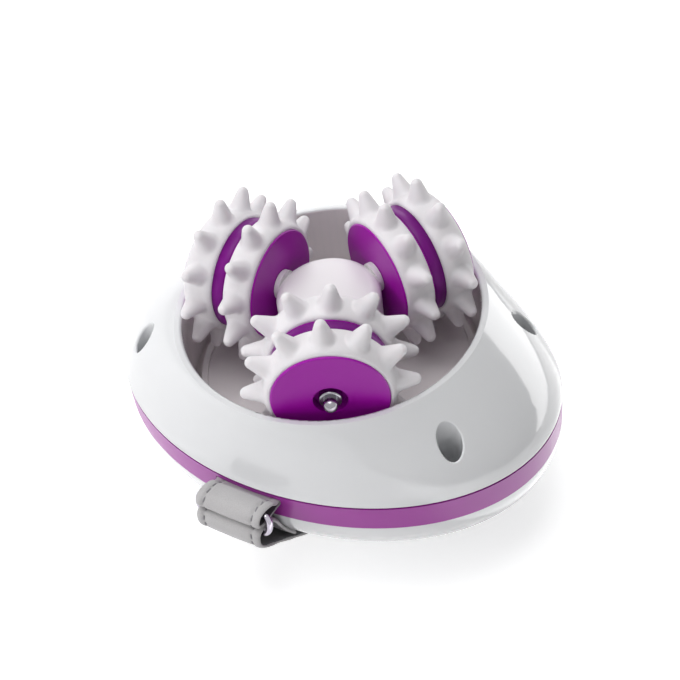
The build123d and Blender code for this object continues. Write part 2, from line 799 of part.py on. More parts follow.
def switch_knob():
    low = -switch_pocket_depth + open_gap
    high = switch_cap_stand
    cap = Pos(0, 0, low) * Box(
        switch_cap_length, switch_cap_width, high - low, align=(Align.CENTER, Align.CENTER, Align.MIN))
    cap = fillet(cap.edges().group_by(Axis.Z)[-1], switch_cap_round)
    for n in range(switch_rib_count):
        x = (n - (switch_rib_count - 1) / 2) * switch_rib_pitch
        cap -= Pos(x, 0, high) * Box(switch_rib_width, 2 * switch_cap_width, 2 * switch_rib_depth)
    neck = Pos(0, 0, low) * Box(
        switch_neck_length, switch_neck_width, switch_neck_depth, align=(Align.CENTER, Align.CENTER, Align.MAX))
    return switch_plane() * (cap + neck)


def switch_body():
    top = -wall - switch_body_drop
    body = Pos(0, 0, top) * Box(
        switch_body_length, switch_body_width, switch_body_height, align=(Align.CENTER, Align.CENTER, Align.MAX))
    slot_length = switch_neck_length + 2 * switch_travel + 2 * open_gap
    slot_depth = switch_neck_depth + switch_pocket_depth + top
    body -= Pos(0, 0, top) * Box(slot_length, switch_neck_width + 2 * open_gap, 2 * slot_depth)
    return switch_plane() * body


# Hand strap. Outlines lie in the YZ plane and reach out from the trim's face on the -Y side.

tab_root_z = trim_top_z - tab_drop
loop_low_z = trim_top_z - loop_drop


def side_points(shares, reach, low, height):
    return [(-half_width - reach * out, low + height * up) for out, up in shares]


def side_spline(shares, reach, low, height):
    return make_face(Spline(*side_points(shares, reach, low, height), periodic=True))


def across_strap(face, width):
    # Drawn with Y and Z as the sketch's own two ways, then spread evenly about X = 0
    return extrude(Plane.YZ * face, width / 2, both=True)


def strap_tab():
    flap = side_spline(tab_outline_shares, tab_reach, tab_root_z, tab_rise)
    hollow = side_spline(tab_hollow_shares, tab_reach, tab_root_z, tab_rise)
    body = across_strap(flap - hollow, strap_width)
    middle = tab_root_z + tab_root_height / 2
    root_end = -half_width + hem_inset
    root_start = -half_width - tab_reach * tab_outline_shares[1][0]
    root = Pos(0, root_start, middle) * Box(
        strap_width, root_end - root_start, tab_root_height, align=(Align.CENTER, Align.MIN, Align.CENTER))
    root -= across_strap(hollow, 2 * strap_width)
    body += root
    body += rod_along_x(hem_radius, strap_width, root_end, middle)
    return body - rod_along_x(rod_radius, 2 * strap_width, root_end, middle)


def tab_rod():
    return rod_along_x(rod_radius, strap_width, -half_width + hem_inset, tab_root_z + tab_root_height / 2)


def strap_span():
    # The strap under the dome: flat on the ground, then rising beside the dome to each loop
    lift = half_width * strap_lift_share
    flat = half_width * dome_spread(crown_share, dome_width_power)
    upper = [(flat, crown_z - strap_gap)]
    lower = [(flat, 0)]
    for n in range(1, strap_samples + 1):
        y = flat + (lift - flat) * n / strap_samples
        spread = y / half_width
        share = dome_spread(spread, dome_width_power)
        lean = atan(dome_depth / half_width * (spread / share) ** (dome_width_power - 1))
        z = trim_bottom_z - dome_depth * share
        upper.append((y + strap_gap * sin(lean), z - strap_gap * cos(lean)))
        lower.append((y + crown_z * sin(lean), z - crown_z * cos(lean)))
    edges = [Line((-flat, crown_z - strap_gap), (flat, crown_z - strap_gap)), Line((-flat, 0), (flat, 0))]
    for side in (-1, 1):
        top = [(side * y, z) for y, z in upper]
        bottom = [(side * y, z) for y, z in lower]
        rise = (top[1][0] - top[0][0], top[1][1] - top[0][1])
        end = (top[-1][0] - top[-2][0], top[-1][1] - top[-2][1])
        edges += [Spline(*top, tangents=(rise, end)), Spline(*bottom, tangents=(rise, end)), Line(top[-1], bottom[-1])]
    return across_strap(make_face(edges), strap_width)


def strap_loop():
    face = side_spline(loop_outline_shares, loop_reach, loop_low_z, loop_height)
    hollow = side_spline(loop_hollow_shares, loop_reach, loop_low_z, loop_height)
    return across_strap(face - hollow, strap_width)


def strap_band():
    loop = strap_loop()
    return strap_span() + loop + Rot(0, 0, 180) * loop


def strap_ring():
    upper = side_points([ring_upper_share], tab_reach, tab_root_z, tab_rise)[0]
    lower = side_points([ring_lower_share], loop_reach, loop_low_z, loop_height)[0]
    side = strap_width / 2 + ring_side_gap + ring_wire
    body = rod_along_x(ring_wire, 2 * side, *upper) + rod_along_x(ring_wire, 2 * side, *lower)
    for x in (-side, side):
        leg = Line((x, *upper), (x, *lower))
        leg_plane = Plane(origin=(x, *upper), z_dir=leg % 0)
        body += extrude(leg_plane * Circle(ring_wire), leg.length)
        body += Pos(x, *upper) * Sphere(ring_wire)
        body += Pos(x, *lower) * Sphere(ring_wire)
    return body


# The assembly

def build():
    back = Rot(0, 0, 180)
    nodes["upper_shell"] = rounded_wells(rounded_rim(upper_shell()))
    nodes["trim_ring"] = trim_ring()
    nodes["lower_shell"] = lower_shell()
    seat = trim_bottom_z + well_drop + well_seat
    nodes["case_screws"] = [
        screw(screw_radius, screw_head_radius, screw_head_height, screw_length, x, y, seat) for x, y in well_spots]
    nodes["spindle_bush_upper"] = spindle_bush_upper()
    nodes["spindle_bush_lower"] = spindle_bush_lower()
    nodes["gear_deck"] = gear_deck()
    deck_screws = [screw_up(screw_radius - slip_gap, screw_head_radius, screw_head_height,
                            deck_screw_length, x, y, deck_bottom_z) for x, y in deck_post_spots()]
    nodes["deck_screws"] = deck_screws
    nodes["motor_screws"] = [screw(screw_radius, screw_head_radius, screw_head_height,
                                   deck_screw_length, x, y, deck_top_z) for x, y in motor_screw_spots()]
    nodes["layshaft_pin"] = layshaft_pin()
    nodes["motor_can"] = motor_can()
    nodes["circuit_board"] = circuit_board()
    nodes["dc_jack"] = dc_jack()
    nodes["switch_body"] = switch_body()
    nodes["switch_knob"] = switch_knob()
    nodes["turntable"] = turntable()
    nodes["hub_body"] = hub_body()
    nodes["hub_cap"] = hub_cap()
    nodes["hub_screws"] = [screw_up(hub_screw_radius, hub_screw_head, hub_screw_head_height, hub_screw_length, x, y,
                                    turntable_bottom_z + hub_screw_head_height) for x, y in hub_screw_spots()]
    nodes["head_spindle"] = head_spindle()
    nodes["spindle_clip"] = spindle_clip()
    nodes["output_gear"] = output_gear()
    nodes["compound_gear"] = compound_gear()
    nodes["motor_shaft"] = motor_shaft()
    nodes["motor_pinion"] = motor_pinion()
    core = wheel_core()
    cover = tyre()
    nodes["hub_collars"] = []
    nodes["wheel_spacers"] = []
    nodes["axle_sleeves"] = []
    for n, angle in enumerate(unit_angles):
        place = axle_frame(angle, 0)
        nodes[f"axle_{n + 1}"] = place * axle()
        nodes["hub_collars"].append(place * axle_ring(collar_radius, hub_radius - collar_seat, wheel_start - collar_gap))
        nodes["wheel_spacers"].append(place * axle_ring(
            spacer_radius, wheel_start + wheel_width + slip_gap, outer_wheel_start - slip_gap))
        nodes["axle_sleeves"].append(place * axle_sleeve())
        for name, middle, phase in (("inner", inner_wheel_middle, inner_phases[n]),
                                    ("outer", outer_wheel_middle, outer_phases[n])):
            spot = axle_frame(angle, middle)
            nodes[f"wheel_core_{n + 1}_{name}"] = spot * core
            nodes[f"tyre_{n + 1}_{name}"] = spot * Rot(phase, 0, 0) * cover
    nodes["strap_band"] = strap_band()
    tab = strap_tab()
    nodes["strap_tab_front"] = tab
    nodes["strap_tab_back"] = back * tab
    nodes["tab_rods"] = [tab_rod(), back * tab_rod()]
    metal_ring = strap_ring()
    nodes["strap_ring_front"] = metal_ring
    nodes["strap_ring_back"] = back * metal_ring


def export():
    os.makedirs("parts", exist_ok=True)
    for name, shape in nodes.items():
        solids = shape if isinstance(shape, list) else [shape]
        whole = Compound(children=[s for item in solids for s in item.solids()])
        export_step(whole, f"parts/{name}.step")


build()
export()
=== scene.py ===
import bpy, bmesh, math, random
from mathutils import Matrix, Vector


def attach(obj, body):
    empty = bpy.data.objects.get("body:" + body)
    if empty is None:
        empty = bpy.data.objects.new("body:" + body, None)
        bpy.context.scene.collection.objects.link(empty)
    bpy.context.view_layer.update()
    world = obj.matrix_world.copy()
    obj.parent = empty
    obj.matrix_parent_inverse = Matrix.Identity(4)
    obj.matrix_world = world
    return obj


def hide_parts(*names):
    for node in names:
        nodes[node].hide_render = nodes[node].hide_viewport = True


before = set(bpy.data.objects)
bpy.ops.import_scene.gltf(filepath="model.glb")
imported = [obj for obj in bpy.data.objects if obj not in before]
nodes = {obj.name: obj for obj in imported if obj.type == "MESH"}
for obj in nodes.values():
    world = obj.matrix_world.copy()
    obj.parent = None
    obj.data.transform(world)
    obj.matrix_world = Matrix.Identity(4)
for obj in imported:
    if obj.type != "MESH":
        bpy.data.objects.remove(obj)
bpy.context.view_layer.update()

MM = 0.001

# Sizes shared with the solids, in millimetres
HEAD_X = 1.0
RIM_Z = 74.812
AXLE_Z = 78.012
BOWL_FLOOR_Z = 40.0
BOWL_INSIDE, BOWL_OUTSIDE = 49.9, 50.2
HALF_WIDTH = 59.8
TRIM_TOP = 47.612
TRIM_HEIGHT = 10.3
DOME_DEPTH, DOME_POWER = 36.0, 1.93
TAB_Z = TRIM_TOP - 4.7
TAB_REACH, TAB_RISE = 12.2, 6.4
LOOP_Z = TRIM_TOP - 29.3
LOOP_REACH, LOOP_HEIGHT = 13.3, 25.4
STRAP_HALF = 12.0


# Small helpers for node trees and meshes
def srgb(r, g, b):
    """A linear colour from one written as 0 to 255."""
    def lin(c):
        c /= 255
        return c / 12.92 if c <= 0.04045 else ((c + 0.055) / 1.055) ** 2.4
    return (lin(r), lin(g), lin(b), 1.0)


def scaled(color, factor):
    return tuple(min(1, c * factor) for c in color[:3]) + (1,)


def add_node(tree, kind, settings=None, values=None):
    """A node, its settings, and the values of the inputs that nothing is linked to."""
    made = tree.nodes.new(kind)
    for key, value in (settings or {}).items():
        setattr(made, key, value)
    for key, value in (values or {}).items():
        made.inputs[key].default_value = value
    return made


def add_math(tree, operation, first, second, clamp=False):
    """A math node. first is linked, and second is linked or a number. Its output is returned."""
    made = add_node(tree, "ShaderNodeMath", {"operation": operation, "use_clamp": clamp})
    tree.links.new(first, made.inputs[0])
    if isinstance(second, float):
        made.inputs[1].default_value = second
    else:
        tree.links.new(second, made.inputs[1])
    return made.outputs[0]


def empty_material(name):
    """A material whose tree holds only its output, and a principled shader that isn't linked yet."""
    mat = bpy.data.materials.new(name)
    mat.use_nodes = True
    mat.node_tree.nodes.clear()
    out = add_node(mat.node_tree, "ShaderNodeOutputMaterial")
    shader = add_node(mat.node_tree, "ShaderNodeBsdfPrincipled")
    return mat, out, shader


def link_object(name, mesh):
    made = bpy.data.objects.new(name, mesh)
    bpy.context.scene.collection.objects.link(made)
    return made


def finish_mesh(bm, name, keys):
    """Closes a mesh under construction and gives it the materials that keys name."""
    bmesh.ops.recalc_face_normals(bm, faces=bm.faces)
    mesh = bpy.data.meshes.new(name)
    bm.to_mesh(mesh)
    bm.free()
    for key in keys:
        mesh.materials.append(M[key])
    return mesh


# Materials
IOR = 1.5
GRAIN_DISTANCE = 0.0002
LEATHER_ROUGH = 0.5


def material(name, color, rough, metallic=0.0, coat=0.0, coat_rough=0.1, spec=0.5, sheen=0.0, sub=0.0,
             mottle=0.03, mottle_scale=60.0, rough_vary=0.04, bump=0.02, bump_scale=900.0):
    """A procedural material: slow colour variation, and fine grain in its roughness and bump."""
    mat, out, sh = empty_material(name)
    nt = mat.node_tree
    link = nt.links.new
    link(sh.outputs[0], out.inputs[0])
    for key, value in (("Metallic", metallic), ("IOR", IOR), ("Specular IOR Level", spec),
                       ("Coat Weight", coat), ("Coat Roughness", coat_rough), ("Sheen Weight", sheen)):
        sh.inputs[key].default_value = value
    if sub:
        sh.inputs["Subsurface Weight"].default_value = sub
        sh.inputs["Subsurface Radius"].default_value = (0.004, 0.003, 0.003)
        sh.inputs["Subsurface Scale"].default_value = 0.5
    co = add_node(nt, "ShaderNodeTexCoord")
    big = add_node(nt, "ShaderNodeTexNoise", values={"Scale": mottle_scale, "Detail": 4.0})
    link(co.outputs["Object"], big.inputs["Vector"])
    mix = add_node(nt, "ShaderNodeMix", {"data_type": "RGBA"},
                   {"A": scaled(color, 1 - mottle), "B": scaled(color, 1 + mottle)})
    link(big.outputs["Fac"], mix.inputs["Factor"])
    link(mix.outputs["Result"], sh.inputs["Base Color"])
    fine = add_node(nt, "ShaderNodeTexNoise", values={"Scale": bump_scale, "Detail": 3.0})
    link(co.outputs["Object"], fine.inputs["Vector"])
    spread = add_node(nt, "ShaderNodeMapRange", values={
        "To Min": max(0.02, rough - rough_vary), "To Max": min(1, rough + rough_vary)})
    link(fine.outputs["Fac"], spread.inputs["Value"])
    link(spread.outputs["Result"], sh.inputs["Roughness"])
    if bump:
        grain = add_node(nt, "ShaderNodeBump", values={"Strength": bump, "Distance": GRAIN_DISTANCE})
        link(fine.outputs["Fac"], grain.inputs["Height"])
        link(grain.outputs["Normal"], sh.inputs["Normal"])
    return mat


def leather(name, color, crease_shade_color):
    """Grained artificial leather: pebbled cells with fine creases, and painted shade that darkens the
    creases.
    """
    mat, out, sh = empty_material(name)
    nt = mat.node_tree
    link = nt.links.new
    link(sh.outputs[0], out.inputs[0])
    sh.inputs["Specular IOR Level"].default_value = 0.4
    co = add_node(nt, "ShaderNodeTexCoord")
    cells = add_node(nt, "ShaderNodeTexVoronoi", {"feature": "DISTANCE_TO_EDGE"}, {"Scale": 1500.0})
    link(co.outputs["Object"], cells.inputs["Vector"])
    soft = add_node(nt, "ShaderNodeTexNoise", values={"Scale": 180.0, "Detail": 5.0})
    link(co.outputs["Object"], soft.inputs["Vector"])
    crease = add_node(nt, "ShaderNodeMapRange", values={"From Max": 0.12, "To Min": 0.72})
    link(cells.outputs["Distance"], crease.inputs["Value"])
    # Painted shade: the colour darkens towards the second colour in the creases between the pebbles.
    mix = add_node(nt, "ShaderNodeMix", {"data_type": "RGBA"}, {"A": crease_shade_color, "B": color})
    link(crease.outputs["Result"], mix.inputs["Factor"])
    worn = add_node(nt, "ShaderNodeMapRange", values={"From Min": 0.35, "From Max": 0.75, "To Max": 0.5})
    link(soft.outputs["Fac"], worn.inputs["Value"])
    tone = add_node(nt, "ShaderNodeMix", {"data_type": "RGBA"}, {"B": scaled(color, 0.9)})
    link(worn.outputs["Result"], tone.inputs["Factor"])
    link(mix.outputs["Result"], tone.inputs["A"])
    link(tone.outputs["Result"], sh.inputs["Base Color"])
    spread = add_node(nt, "ShaderNodeMapRange", values={
        "To Min": LEATHER_ROUGH - 0.08, "To Max": LEATHER_ROUGH + 0.1})
    link(soft.outputs["Fac"], spread.inputs["Value"])
    link(spread.outputs["Result"], sh.inputs["Roughness"])
    pebbles = add_node(nt, "ShaderNodeBump", values={"Strength": 0.25, "Distance": 0.0001})
    link(crease.outputs["Result"], pebbles.inputs["Height"])
    swell = add_node(nt, "ShaderNodeBump", values={"Strength": 0.3, "Distance": 0.0006})
    link(soft.outputs["Fac"], swell.inputs["Height"])
    link(pebbles.outputs["Normal"], swell.inputs["Normal"])
    link(swell.outputs["Normal"], sh.inputs["Normal"])
    return mat


M = {
    "shell": material("gloss_white_shell", srgb(220, 221, 223), 0.13, coat=0.6, coat_rough=0.02,
                      mottle=0.008, bump=0.0),
    "hub": material("satin_white_hub", srgb(226, 224, 225), 0.36, mottle=0.01),
    "table": material("satin_white_turntable", srgb(226, 221, 222), 0.36, mottle=0.015),
    "trim": material("purple_band", srgb(158, 52, 155), 0.3, spec=0.4, bump=0.015),
    "disc": material("purple_disc", srgb(158, 6, 162), 0.32, spec=0.28, bump=0.01),
    # Painted shade: the flange between a pair's wheels is a darker copy of the disc purple, for the shade in
    # the gap.
    "flange": material("purple_flange_painted_shade", srgb(112, 6, 120), 0.4, spec=0.2, bump=0.01),
    "tyre": material("white_stud_rubber", srgb(229, 226, 229), 0.46, spec=0.4, sub=0.12,
                     mottle=0.012, rough_vary=0.05, bump=0.03),
    "steel": material("polished_steel", srgb(150, 148, 154), 0.2, metallic=1.0, bump_scale=2500.0),
    "screw": material("plated_screw", srgb(150, 150, 152), 0.3, metallic=1.0, mottle=0.08, bump=0.05),
    # Painted reflection: a faint lavender in the chrome's colour stands in for the purple it reflects.
    "ring": material("chromed_ring_painted_purple_reflection", srgb(186, 180, 192), 0.16, metallic=1.0, bump=0.01),
    "gear": material("moulded_gear", srgb(226, 222, 208), 0.4, mottle=0.02, bump=0.03),
    "bush": material("bush_plastic", srgb(120, 120, 122), 0.45, bump=0.03),
    "deck": material("deck_plastic", srgb(170, 170, 172), 0.5, mottle=0.02, bump=0.05),
    "board": material("board_laminate", srgb(28, 92, 48), 0.35, mottle=0.08, mottle_scale=300.0, bump=0.04),
    "black": material("black_moulding", srgb(28, 28, 30), 0.4, mottle=0.1, bump=0.05),
    "motor": material("motor_can_metal", srgb(176, 176, 180), 0.28, metallic=1.0, mottle=0.05, bump=0.03),
    # Painted shade: the light thread is given a darker grey for the shade in the pressed seams.
    "thread": material("strap_thread_painted_seam_shade", srgb(146, 144, 148), 0.7, mottle=0.1, mottle_scale=900.0,
                       bump=0.3, bump_scale=3500.0),
    # Partly the darker lining fabric, partly painted shade in the strap's hollow loops.
    "lining_with_shade": material("strap_lining_painted_shade", srgb(78, 76, 80), 0.85, sheen=0.2, mottle=0.15, mottle_scale=700.0,
                       bump=0.3, bump_scale=2500.0),
    "edge": material("strap_cut_edge", srgb(176, 174, 175), 0.75, mottle=0.12, mottle_scale=700.0,
                     bump=0.3, bump_scale=2000.0),
    # The strap's grey, and a darker grey that is painted shade in the grain's creases.
    "leather": leather("grey_grained_strap", srgb(186, 184, 185), srgb(150, 149, 151)),
}


def paint_bowl_bounce_light(mat, inside):
    """Painted bounce light: a lighter, warmer colour inside the bowl for the light that bounces in it, by the
    distance from the head's axis and the height.
    """
    nt = mat.node_tree
    link = nt.links.new
    sh = next(x for x in nt.nodes if x.type == "BSDF_PRINCIPLED")
    old = sh.inputs["Base Color"].links[0].from_socket
    co = add_node(nt, "ShaderNodeTexCoord")
    off = add_node(nt, "ShaderNodeVectorMath", {"operation": "SUBTRACT"}, {1: (HEAD_X * MM, 0, 0)})
    flat = add_node(nt, "ShaderNodeVectorMath", {"operation": "MULTIPLY"}, {1: (1, 1, 0)})
    far = add_node(nt, "ShaderNodeVectorMath", {"operation": "LENGTH"})
    edge = add_node(nt, "ShaderNodeMapRange", values={
        "From Min": BOWL_OUTSIDE * MM, "From Max": BOWL_INSIDE * MM})
    parts = add_node(nt, "ShaderNodeSeparateXYZ")
    # Painted bounce light: the lighter, warmer colour inside the bowl.
    mix = add_node(nt, "ShaderNodeMix", {"data_type": "RGBA"}, {"B": inside})
    link(co.outputs["Object"], parts.inputs[0])
    link(co.outputs["Object"], off.inputs[0])
    link(off.outputs[0], flat.inputs[0])
    link(flat.outputs[0], far.inputs[0])
    link(far.outputs["Value"], edge.inputs["Value"])
    above = add_math(nt, "GREATER_THAN", parts.outputs["Z"], BOWL_FLOOR_Z * MM)
    both = add_math(nt, "MULTIPLY", edge.outputs["Result"], above)
    link(both, mix.inputs["Factor"])
    link(old, mix.inputs["A"])
    link(mix.outputs["Result"], sh.inputs["Base Color"])


# Painted bounce light: the shell's white turns lighter and warmer inside the bowl.
paint_bowl_bounce_light(M["shell"], srgb(252, 243, 245))

LOOK = {
    "shell": ("upper_shell", "lower_shell"),
    "trim": ("trim_ring", "switch_knob"),
    "hub": ("hub_body", "hub_cap", "hub_collars", "wheel_spacers"),
    "table": ("turntable",),
    "screw": ("case_screws", "deck_screws", "motor_screws", "hub_screws", "tab_rods", "spindle_clip"),
    "steel": ("axle_1", "axle_2", "axle_3", "axle_sleeves", "layshaft_pin", "head_spindle", "motor_shaft"),
    "ring": ("strap_ring_front", "strap_ring_back"),
    "gear": ("output_gear", "compound_gear", "motor_pinion"),
    "bush": ("spindle_bush_upper", "spindle_bush_lower"),
    "deck": ("gear_deck",),
    "board": ("circuit_board",),
    "black": ("dc_jack", "switch_body"),
    "motor": ("motor_can",),
    "disc": tuple(f"wheel_core_{n}_{kind}" for n in (1, 2, 3) for kind in ("inner", "outer")),
    "tyre": tuple(f"tyre_{n}_{kind}" for n in (1, 2, 3) for kind in ("inner", "outer")),
}


def dress(node, mat):
    o = nodes[node]
    if not o.material_slots:
        o.data.materials.append(mat)
    for slot in o.material_slots:
        slot.material = mat


for key, names in LOOK.items():
    for name in names:
        dress(name, M[key])

# Studded tyres, in millimetres. Rows are places along the axle, and turns are each wheel's at rest in degrees
CORE_RADIUS, CROWN_RADIUS = 18.62, 21.0
TYRE_POWER = 0.72
STUD_COUNT = 12
STUD_HEIGHT, STUD_TIP, STUD_BASE, STUD_FOOT = 7.35, 1.95, 3.7, 4.75
STUD_KNEE = 1.7
TIP_BLEND = 4.0
FOOT_STEPS, CONE_STEPS, TIP_STEPS = 8, 5, 9
STUD_SPOKES, CELL_RINGS = 64, 10
CELL_EASE = 1.25
WELD = 0.00002
UNIT_ANGLES = (-60.0, 60.0, 180.0)
INNER_ROW, INNER_HALF = 24.0, 5.1
OUTER_ROW, OUTER_HALF = 39.2, 5.4
INNER_TURNS = (23.6, 1.2, 18.6)
OUTER_TURNS = (0.3, 20.5, 4.0)
# The purple flange between the two wheels of a pair, a darker purple as painted shade in the gap: its outline
# as (along the axle, radius)
FLANGE = ((29.7, 18.78), (29.7, 18.9), (29.8, 19.0), (33.85, 19.0), (33.85, 18.5), (33.3, 18.5), (33.3, 14.5),
          (30.66, 14.5), (30.66, 18.78))
FLANGE_STEPS = 160


def stud_profile():
    """Distance from the stud's middle and height above the tyre, from the foot to the tip."""
    rise = STUD_HEIGHT - STUD_TIP
    lean = math.atan((STUD_BASE - STUD_TIP) / rise)
    top = (STUD_TIP * math.cos(lean), rise + STUD_TIP * math.sin(lean))
    start = (top[0] + (top[1] - STUD_KNEE) * math.tan(lean), STUD_KNEE)
    # a curve that leaves the tyre level and meets the cone along its side
    bend = start[0] + start[1] * math.tan(lean)
    line = []
    for k in range(FOOT_STEPS + 1):
        t = k / FOOT_STEPS
        line.append(((1 - t) ** 2 * STUD_FOOT + 2 * t * (1 - t) * bend + t * t * start[0], t * t * start[1]))
    for k in range(1, CONE_STEPS):
        t = k / CONE_STEPS
        line.append((start[0] + (top[0] - start[0]) * t, start[1] + (top[1] - start[1]) * t))
    for k in range(TIP_STEPS):
        a = lean + (math.pi / 2 - lean) * k / TIP_STEPS
        line.append((STUD_TIP * math.cos(a), rise + STUD_TIP * math.sin(a)))
    return line


def tyre_mesh(name, half):
    """A rounded tyre with one row of studs that grow out of it, around the X axis."""
    profile = stud_profile()
    pitch = 2 * math.pi / STUD_COUNT
    bm = bmesh.new()

    def radius_at(al):
        return CORE_RADIUS + (CROWN_RADIUS - CORE_RADIUS) * abs(math.cos(al)) ** TYRE_POWER

    def band(a, b):
        # a and b run from -1 to 1 across the tyre and along it
        al = a * math.pi / 2
        u = half * math.copysign(abs(math.sin(al)) ** TYRE_POWER, al)
        return u, radius_at(al), b * pitch / 2

    def inverse(u, v):
        al = math.asin(math.copysign(min(1, abs(u) / half) ** (1 / TYRE_POWER), u))
        return al / (math.pi / 2), math.atan2(v, radius_at(al)) / (pitch / 2)

    def place(u, r, turn, k):
        t = turn + k * pitch
        return bm.verts.new((u * MM, -r * math.sin(t) * MM, r * math.cos(t) * MM))

    spokes = [(math.cos(2 * math.pi * j / STUD_SPOKES), math.sin(2 * math.pi * j / STUD_SPOKES))
              for j in range(STUD_SPOKES)]
    for k in range(STUD_COUNT):
        rings = []
        # from the rectangle of one stud's share of the tyre to the round foot
        for i in range(CELL_RINGS):
            f = 1 - (1 - i / CELL_RINGS) ** CELL_EASE
            ring = []
            for c, d in spokes:
                reach = max(abs(c), abs(d))
                ea, eb = c / reach, d / reach
                ia, ib = inverse(profile[0][0] * c, profile[0][0] * d)
                ring.append(place(*band(ea + (ia - ea) * f, eb + (ib - eb) * f), k))
            rings.append(ring)
        for rho, h in profile:
            # the tip is round whatever the tyre does below it
            part = min(1, h / TIP_BLEND)
            ring = []
            for c, d in spokes:
                u, r, turn = band(*inverse(rho * c, rho * d))
                up, across = r * math.cos(turn), r * math.sin(turn)
                up = up + (CROWN_RADIUS - up) * part * part * (3 - 2 * part) + h
                ring.append(place(u, math.hypot(up, across), math.atan2(across, up), k))
            rings.append(ring)
        for r0, r1 in zip(rings, rings[1:]):
            for j in range(STUD_SPOKES):
                jj = (j + 1) % STUD_SPOKES
                bm.faces.new((r0[j], r0[jj], r1[jj], r1[j]))
        cap = place(0, CROWN_RADIUS + STUD_HEIGHT, 0, k)
        for j in range(STUD_SPOKES):
            bm.faces.new((rings[-1][j], rings[-1][(j + 1) % STUD_SPOKES], cap))
    bmesh.ops.remove_doubles(bm, verts=bm.verts, dist=WELD)
    # the bore closes the tyre against its core
    bmesh.ops.bridge_loops(bm, edges=[e for e in bm.edges if e.is_boundary])
    for f in bm.faces:
        f.smooth = True
    return finish_mesh(bm, name, ("tyre",))


def on_axle(n, row, turn):
    """Where wheel pair n's axle puts a mesh that was made around the X axis."""
    return (Matrix.Translation((HEAD_X * MM, 0, AXLE_Z * MM))
            @ Matrix.Rotation(math.radians(UNIT_ANGLES[n]), 4, "Z")
            @ Matrix.Translation((row * MM, 0, 0))
            @ Matrix.Rotation(math.radians(turn), 4, "X"))


def turned_ring(name, line):
    """A body of revolution around the X axis. line is its closed outline as (along, radius)."""
    bm = bmesh.new()
    rings = []
    for k in range(FLANGE_STEPS):
        t = 2 * math.pi * k / FLANGE_STEPS
        rings.append([bm.verts.new((x * MM, -r * math.sin(t) * MM, r * math.cos(t) * MM)) for x, r in line])
    m = len(line)
    for k in range(FLANGE_STEPS):
        r0, r1 = rings[k], rings[(k + 1) % FLANGE_STEPS]
        for j in range(m):
            jj = (j + 1) % m
            bm.faces.new((r0[j], r0[jj], r1[jj], r1[j])).smooth = True
    return link_object(name, finish_mesh(bm, name, ("flange",)))


for kind, row, half, turns in (("inner", INNER_ROW, INNER_HALF, INNER_TURNS),
                               ("outer", OUTER_ROW, OUTER_HALF, OUTER_TURNS)):
    for n in range(3):
        mesh = tyre_mesh(f"stud_tyre_{n + 1}_{kind}", half)
        mesh.transform(on_axle(n, row, turns[n]))
        o = link_object(mesh.name, mesh)
        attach(o, f"wheel_{n + 1}_{kind}")
        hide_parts(f"tyre_{n + 1}_{kind}")

for n in range(3):
    o = turned_ring(f"wheel_flange_{n + 1}", FLANGE)
    o.data.transform(on_axle(n, 0, 0))
    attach(o, f"wheel_{n + 1}_outer")

# Hand strap, in millimetres
BAND_THICK, TAB_THICK = 1.45, 1.1
BAND_POINTS, TAB_POINTS = 520, 170
SEAM = 3.0
SEAM_WIDTH, SEAM_PRESS = 0.5, 0.5
PUFF, HEM_PUFF = 0.16, 0.22
EDGE_SQUARE_SHARE, EDGE_ROUND_POWER, EDGE_SHOWS = 0.62, 14, 0.35
WAVE = 0.05
EDGE_WAVE = 0.15
SECTION_POINTS = 96
CURVE_STEPS = 24
STITCH_PITCH, STITCH_RADIUS, STITCH_SINK = 3.0, 0.3, 0.32
STITCH_SHARE = 0.37
STITCH_SIDES, STITCH_PARTS = 8, 7
SPAN_STEPS, SPAN_END_SHARE, CROWN_SHARE = 8, 0.9, 0.967
CROWN_LEAN = 0.05
CROWN_Z, CROWN_RIM_Z = 1.1, 1.12


def spline(points, count):
    """Points evenly spaced along a smooth curve through the given points, and its length."""
    pts = [Vector(p) for p in points]
    dense = []
    m = len(pts)
    for i in range(m - 1):
        p0, p1, p2, p3 = pts[max(i - 1, 0)], pts[i], pts[i + 1], pts[min(i + 2, m - 1)]
        for s in range(CURVE_STEPS):
            t = s / CURVE_STEPS
            dense.append(0.5 * ((2 * p1) + (p2 - p0) * t + (2 * p0 - 5 * p1 + 4 * p2 - p3) * t * t
                                + (3 * p1 - p0 - 3 * p2 + p3) * t ** 3))
    dense.append(pts[-1])
    along = [0.0]
    for a, b in zip(dense, dense[1:]):
        along.append(along[-1] + (b - a).length)
    res, j = [], 0
    for i in range(count):
        want = along[-1] * i / (count - 1)
        while j < len(along) - 2 and along[j + 1] < want:
            j += 1
        f = (want - along[j]) / max(1e-9, along[j + 1] - along[j])
        res.append(dense[j].lerp(dense[j + 1], min(1, max(0, f))))
    return res, along[-1]


def outward(tangent):
    """The grained face's direction, across the strip's line in (y, z)."""
    return Vector((tangent.y, -tangent.x, 0))


